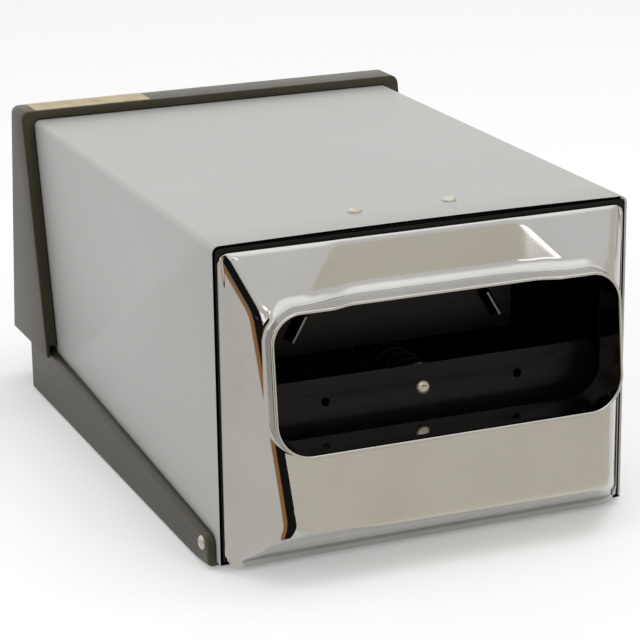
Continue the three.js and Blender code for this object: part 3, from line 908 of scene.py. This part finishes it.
def faceRings():
    # rings of (x, depth, z), from the rim over the collar and back behind the plate to the rim
    rings = []
    collar = plate["collar"]
    edge = rimOutline(0)
    half = collar / 2
    mouth = mouthOutline(0)
    fillets = [filletAt(p) for p in mouth]
    feet = [outwards(p, collar) for p in mouth]

    rings.append([(p[0], 0.0, p[1]) for p in edge])
    rings.append([(p[0], plate["edge"] / 2, p[1]) for p in edge])
    for step in range(7):
        share = 1 - math.cos(math.pi / 2 * step / 7)
        ring = []
        for p in edge:
            x, z = outwards(p, -rimTurn(p) * share)
            drop = plate["rimDrop"] * rounding(share, 1) * abs(p[3])
            ring.append((x, max(faceDepth(x, z) - drop, plate["edge"]), z))
        rings.append(ring)
    outer = [outwards(p, -rimTurn(p)) for p in edge]
    inner = [outwards(p, collar + f) for p, f in zip(mouth, fillets)]
    for step in range(plate["frontRings"] + 1):
        share = step / plate["frontRings"]
        ring = [(a[0] + (b[0] - a[0]) * share, a[1] + (b[1] - a[1]) * share)
                for a, b in zip(outer, inner)]
        rings.append([(x, faceDepth(x, z), z) for x, z in ring])
    for step in range(1, plate["filletRings"] + 1):
        ring = []
        for p, f in zip(mouth, fillets):
            away = f * math.cos(math.pi / 2 * step / plate["filletRings"])
            x, z = outwards(p, collar + away)
            ring.append((x, faceDepth(x, z) + rounding(away, f), z))
        rings.append(ring)
    for share in (0.35, 0.75, 1.0):
        ring = []
        for (x, z), f in zip(feet, fillets):
            foot = faceDepth(x, z) + f
            ring.append((x, foot + (crestAt(x, z) - half - foot) * share, z))
        rings.append(ring)
    for step in range(1, 9):
        angle = math.pi * step / 8
        ring = []
        for p in mouth:
            x, z = outwards(p, half + half * math.cos(angle))
            ring.append((x, crestAt(x, z) - half + half * math.sin(angle), z))
        rings.append(ring)
    for share in (0.3, 0.65, 1.0):
        ring = []
        for x, z, _, _ in mouth:
            top = crestAt(x, z) - half
            ring.append((x, top + (plate["root"] - top) * share, z))
        rings.append(ring)
    sleeve = [outwards(p, collar * 0.95) for p in mouth]
    hidden = rimOutline(plate["wall"])
    rings.append([(x, plate["root"], z) for x, z in sleeve])
    for step in range(13):
        share = step / 12
        ring = []
        for a, b in zip(sleeve, hidden):
            x = a[0] + (b[0] - a[0]) * share
            z = a[1] + (b[1] - a[1]) * share
            least = plate["root"] + 0.0004 if step == 0 else 0.0
            ring.append((x, max(faceDepth(x, z) - plate["wall"], least), z))
        rings.append(ring)
    return rings


def makeFaceplate():
    rings = faceRings()
    count = len(rings[0])
    corners = [spot(x, -depth, z) for ring in rings for x, depth, z in ring]
    faces = []
    for r in range(len(rings)):
        after = (r + 1) % len(rings)
        for i in range(count):
            j = (i + 1) % count
            faces.append((r * count + i, after * count + i, after * count + j, r * count + j))
    mesh = bpy.data.meshes.new("faceplate_plated")
    mesh.from_pydata(corners, [], faces)
    piece = bpy.data.objects.new("faceplate_plated", mesh)
    bpy.context.scene.collection.objects.link(piece)
    outwardNormals(piece)
    finishPiece(piece, "housing", "chrome", ["faceplate"], finishes["chrome"], angle=70)
    print("faceplate:", len(mesh.polygons), "faces")


makeFaceplate()


# Upper retainer: an angle plate under the shell's top, with two lanced tabs

# rubbed: how near a face must lie to a tab's front to take the lighter edge finish, which is partly
# a painted highlight
retainer = dict(half=0.057, y=0.0344, front=0.0207, bottom=0.0786, top=0.1402, sheet=0.001,
                bend=0.0015, tabX=0.046, tabZ=0.0914, tabTurn=0.52,
                tabSize=(0.0009, 0.006, 0.0125), slotSize=(0.0022, 0.004, 0.014), rubbed=0.0002,
                edge=0.00018)


def makeRetainer():
    rear = frontLine + retainer["y"] + retainer["sheet"]
    profile = [(frontLine + retainer["front"], trayLine + retainer["top"]),
               (rear, trayLine + retainer["top"]),
               (rear, trayLine + retainer["bottom"])]
    piece = foldedSheet("retainer_plate", profile, retainer["half"], retainer["sheet"],
                        retainer["bend"])
    outwardNormals(piece)
    for side in (-1, 1):
        turn = (0, -side * retainer["tabTurn"], 0)
        centre = spot(side * retainer["tabX"], retainer["y"], retainer["tabZ"])
        across = Vector((math.cos(retainer["tabTurn"]), 0, side * math.sin(retainer["tabTurn"])))
        size = Vector(retainer["slotSize"])
        for way in (-1, 1):
            at = centre + across * way * (size.x / 2 + retainer["tabSize"][0] / 2)
            carve(piece, boxAt("slot", at - size / 2, at + size / 2, turn))
        size = Vector(retainer["tabSize"])
        at = centre - Vector((0, size.y / 2 - retainer["sheet"] / 2, 0))
        weld(piece, boxAt("tab", at - size / 2, at + size / 2, turn))
    softenEdges(piece, retainer["edge"], 2, 40)
    finishPiece(piece, "housing", "black_enamel", ["upper_retainer"],
                finishes["black_enamel"], tabEdgeHighlight)
    tabFront = spot(0, retainer["y"] + retainer["sheet"] / 2 - retainer["tabSize"][1],
                    retainer["tabZ"])
    # the tabs' front faces take the lighter edge finish: a painted highlight for the bright line
    # where each tab's edge catches light, over bare sheared metal
    for face in piece.data.polygons:
        away = face.center - tabFront
        if abs(away.y) < retainer["rubbed"] and abs(away.z) < retainer["tabSize"][2]:
            face.material_index = 1


makeRetainer()


# Follower: the pressed plate that the spring pushes forward

follower = dict(half=0.083, y=0.0025, bend=0.060, lean=0.003, top=0.077, bottom=0.0098,
                foot=0.034, sheet=0.0012, fold=0.0012, hole=0.002, holeX=0.045, holeZ=0.067,
                corner=0.004, edge=0.0002)


def makeFollower():
    profile = [(frontLine + follower["foot"], trayLine + follower["bottom"]),
               (frontLine + follower["y"], trayLine + follower["bottom"]),
               (frontLine + follower["y"], trayLine + follower["bend"]),
               (frontLine + follower["y"] + follower["lean"], trayLine + follower["top"])]
    piece = foldedSheet("follower_sheet", profile, follower["half"], follower["sheet"],
                        follower["fold"])
    outwardNormals(piece)
    for side in (-1, 1):
        x, z = side * follower["holeX"], follower["holeZ"]
        carve(piece, rodAt("hole", follower["hole"], spot(x, -0.002, z), spot(x, 0.012, z)))
    startEdit(piece)
    pick(piece, "edges", lambda e: e.calc_length() < follower["sheet"] * 4 / 3
         and abs(middleOf(e).x) > follower["half"] - 2 * tiny
         and middleOf(e).z > trayLine + follower["top"] - follower["sheet"]
         and not runsAlong(e, 2))
    roundEdges(follower["corner"], 6)
    endEdit()
    softenEdges(piece, follower["edge"], 2, 40)
    finishPiece(piece, "follower", "black_enamel", ["follower_plate"], finishes["black_enamel"])


makeFollower()
print("inner plates folded")


# Rivets: one domed head with its mandrel dimple, copied to each place

rivetRings = [(0.0016, -0.0024), (0.0016, 0.0), (0.00318, 0.0), (0.00318, 0.00028),
              (0.00302, 0.00066), (0.0026, 0.00102), (0.0020, 0.00130), (0.00145, 0.00146),
              (0.00122, 0.00145), (0.00104, 0.00122), (0.0009, 0.00108), (0.0003, 0.00104)]
rivetHigh = 0.0015       # of a head above its sheet
rivetLift = 0.00045      # of the top rivets, which sit on the shell's crown


def makeRivets():
    model = turnedPiece("rivet_model", rivetRings)
    leaning = Vector((0, follower["bend"] - follower["top"], follower["lean"])).normalized()
    share = (follower["holeZ"] - follower["bend"]) / (follower["top"] - follower["bend"])
    lean = follower["lean"] * share
    places = [("follower_rivet_head", "follower_rivet", "follower",
               spot(0, follower["y"] + lean, follower["holeZ"]), leaning)]
    for word, side in (("left", -1), ("right", 1)):
        low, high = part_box("top_rivet_" + word)
        centre = (low + high) / 2
        places.append(("top_rivet_head_" + word, "top_rivet_" + word, "housing",
                       Vector((centre.x, centre.y, shellHigh.z + rivetLift)), (0, 0, 1)))
        low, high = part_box("side_rivet_" + word)
        centre = (low + high) / 2
        places.append(("side_rivet_head_" + word, "side_rivet_" + word, "housing",
                       Vector((side * tray["outer"], centre.y, centre.z)), (side, 0, 0)))
        for row in ("front", "rear"):
            node = "floor_rivet_" + row + "_" + word
            low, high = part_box(node)
            centre = (low + high) / 2
            places.append(("floor_rivet_head_" + row + "_" + word, node, "housing",
                           Vector((centre.x, centre.y, high.z - rivetHigh)), (0, 0, 1)))
    for name, node, body, place, axis in places:
        head = copyTo(model, name, place, axis)
        finishPiece(head, body, "bare_metal", [node], finishes["bare_metal"], angle=50)
    bpy.data.objects.remove(model)


makeRivets()
print("rivets set")


# Spring: a long coil with closed end turns, standing between follower and door

spring = dict(radius=0.009, wire=0.0008, turns=34, closed=1.5, steps=20)


def makeSpring():
    low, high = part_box("pusher_spring")
    centre = (low + high) / 2
    wire = spring["wire"]
    start, end = low.y + wire, high.y - wire
    closedRise = spring["closed"] * 2 * wire * 1.1
    total = spring["turns"] + 2 * spring["closed"]
    points = []
    for step in range(int(total * spring["steps"]) + 1):
        turn = step / spring["steps"]
        if turn < spring["closed"]:
            along = closedRise * turn / spring["closed"]
        elif turn > total - spring["closed"]:
            along = (end - start) - closedRise * (total - turn) / spring["closed"]
        else:
            share = (turn - spring["closed"]) / spring["turns"]
            along = closedRise + (end - start - 2 * closedRise) * share
        angle = 2 * math.pi * turn
        points.append((centre.x + spring["radius"] * math.cos(angle), start + along,
                       centre.z + spring["radius"] * math.sin(angle), 1))
    curve = bpy.data.curves.new("spring_coil", "CURVE")
    curve.dimensions = "3D"
    curve.bevel_depth = wire
    curve.bevel_resolution = 2
    curve.use_fill_caps = True
    line = curve.splines.new("POLY")
    line.points.add(len(points) - 1)
    for at, place in zip(line.points, points):
        at.co = place
    piece = bpy.data.objects.new("spring_coil", curve)
    bpy.context.scene.collection.objects.link(piece)
    makeActive(piece)
    bpy.ops.object.convert(target="MESH")
    outwardNormals(piece)
    finishPiece(piece, "housing", "spring_steel", ["pusher_spring"], finishes["spring_steel"],
                angle=60)
    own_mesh(piece)


makeSpring()
print("spring wound")


# Feet: moulded rubber pads under the tray

def makeFeet():
    low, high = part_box("foot_front_left")
    radius, height = (high.x - low.x) / 2, high.z - low.z
    rings = [(radius * 0.3, height * 0.35), (radius * 0.42, height * 0.3), (radius * 0.5, 0),
             (radius * 0.92, 0), (radius, height * 0.25), (radius, height * 0.8),
             (radius * 0.96, height)]
    model = turnedPiece("foot_model", rings, 48)
    for node in [n for n in nodes if n.startswith("foot_")]:
        low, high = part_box(node)
        centre = (low + high) / 2
        foot = copyTo(model, node + "_pad", Vector((centre.x, centre.y, low.z)))
        finishPiece(foot, "housing", "rubber", [node], finishes["rubber"])
    bpy.data.objects.remove(model)


makeFeet()


# Floor, surroundings and lights

def makeFloor():
    deselectAll()
    bpy.ops.mesh.primitive_plane_add(size=3.6, location=(0, 0, 0))
    floor = bpy.context.active_object
    floor.name = "floor"
    made = newFinish(
        "floor_finish", Roughness=0.9, Base_Color=(0.70, 0.70, 0.70, 1), Specular_IOR_Level=0.1,
        Emission_Color=(1, 1, 1, 1), Emission_Strength=0.27)[0]
    floor.data.materials.append(made)


surroundings = dict(
    camera=(1, 1, 1, 1), diffuse=(0.62, 0.62, 0.62, 1), behind=(1.3, 1.3, 1.28, 1),
    high=(0.98, 0.98, 0.98, 1), above=(1.55, 1.55, 1.53, 1), soft=4,
)

# What the chrome sees round it: colour, then azimuths and heights in degrees.
around = dict(
    front=((0.86, 0.81, 0.71, 1), (-31, 96), (-90, 90)),
    left=((0.85, 0.83, 0.78, 1), (-150, -66), (-90, 12)),
    right=((0.55, 0.54, 0.51, 1), (92, 148), (-90, 22)),
    brown=((0.42, 0.22, 0.09, 1), (-70, -56), (-90, 25)),
    dark=((0.012, 0.012, 0.012, 1), (-60, -28), (-90, 33)),
    gleam=((1.7, 1.7, 1.7, 1), (-31, -14), (-8, 17)),
    lamp=((2.4, 2.4, 2.4, 1), (-4, 19), (26, 39)),
)


def makeWorld():
    world = bpy.data.worlds.new("studio")
    bpy.context.scene.world = world
    world.use_nodes = True
    tree = world.node_tree
    tree.nodes.clear()
    look = surroundings
    way = addNode(tree, "ShaderNodeTexCoord").outputs["Generated"]
    parts = addNode(tree, "ShaderNodeSeparateXYZ", {0: way})
    forward = sums(tree, "MULTIPLY", parts.outputs["Y"], -1.0)
    side = sums(tree, "ARCTAN2", parts.outputs["X"], forward)
    azimuth = sums(tree, "DEGREES", side)
    height = sums(tree, "DEGREES", sums(tree, "ARCSINE", parts.outputs["Z"]))

    def band(value, low, high):
        soft = look["soft"]
        rising = ranged(tree, value, low, low + soft, smooth=True)
        falling = ranged(tree, value, high - soft, high, 1.0, 0.0, smooth=True)
        return sums(tree, "MULTIPLY", rising, falling)
    colour = blended(tree, ranged(tree, height, 22, 38, smooth=True),
                     around["front"][0], look["high"])
    colour = blended(tree, ranged(tree, height, 46, 62, smooth=True), colour, look["above"])
    colour = blended(tree, ranged(tree, forward, 0.15, -0.35, smooth=True), colour, look["behind"])
    for kind in ("left", "right", "brown", "dark", "gleam", "lamp"):
        tint, sides, heights = around[kind]
        mask = sums(tree, "MULTIPLY", band(azimuth, *sides), band(height, *heights))
        colour = blended(tree, mask, colour, tint)
    rays = addNode(tree, "ShaderNodeLightPath")
    colour = blended(tree, rays.outputs["Is Diffuse Ray"], colour, look["diffuse"])
    colour = blended(tree, rays.outputs["Is Camera Ray"], colour, look["camera"])
    backdrop = addNode(tree, "ShaderNodeBackground", {"Color": colour, "Strength": 1.0})
    output = addNode(tree, "ShaderNodeOutputWorld")
    tree.links.new(backdrop.outputs[0], output.inputs["Surface"])


# Cards on the floor, seen only in the chrome, carry the surroundings down to its foot.
cards = dict(foot=(-0.074, -0.150), near=0.012, frontNear=0.05, far=2.2, lift=0.0005)


def makeCard(name, kind):
    deselectAll()
    bpy.ops.mesh.primitive_plane_add(size=1, location=(0, 0, 0))
    card = bpy.context.active_object
    card.name = name
    tint, sides, _ = around[kind]
    places = []
    for side, inset in zip(sides, (2, -2)):
        angle = math.radians(side + inset)
        for reach in (cards["frontNear" if kind == "front" else "near"], cards["far"]):
            places.append((cards["foot"][0] + reach * math.sin(angle),
                           cards["foot"][1] - reach * math.cos(angle), cards["lift"]))
    for corner, place in zip(card.data.vertices, places):
        corner.co = place
    made = newFinish(
        name + "_finish", Base_Color=(0, 0, 0, 1), Roughness=1.0, Specular_IOR_Level=0.0,
        Emission_Color=tint, Emission_Strength=1.0)[0]
    card.data.materials.append(made)
    card.visible_camera = False
    card.visible_diffuse = False
    card.visible_shadow = False


def makeLight(name, place, size, watts, target=(0, 0, 0.07)):
    data = bpy.data.lights.new(name, "AREA")
    data.shape = "SQUARE"
    data.size = size
    data.energy = watts
    item = bpy.data.objects.new(name, data)
    bpy.context.scene.collection.objects.link(item)
    item.location = place
    item.rotation_euler = (Vector(target) - Vector(place)).to_track_quat("-Z", "Y").to_euler()
    item.visible_glossy = False


makeFloor()
makeWorld()
for kind in ("left", "brown", "dark", "front"):
    makeCard(kind + "_card", kind)
makeLight("overhead_light", (0.3, -0.2, 2.2), 1.6, 21)
makeLight("left_light", (-2.0, -0.6, 1.1), 1.4, 10)
bpy.context.scene.view_settings.view_transform = "Standard"
print("studio lit")
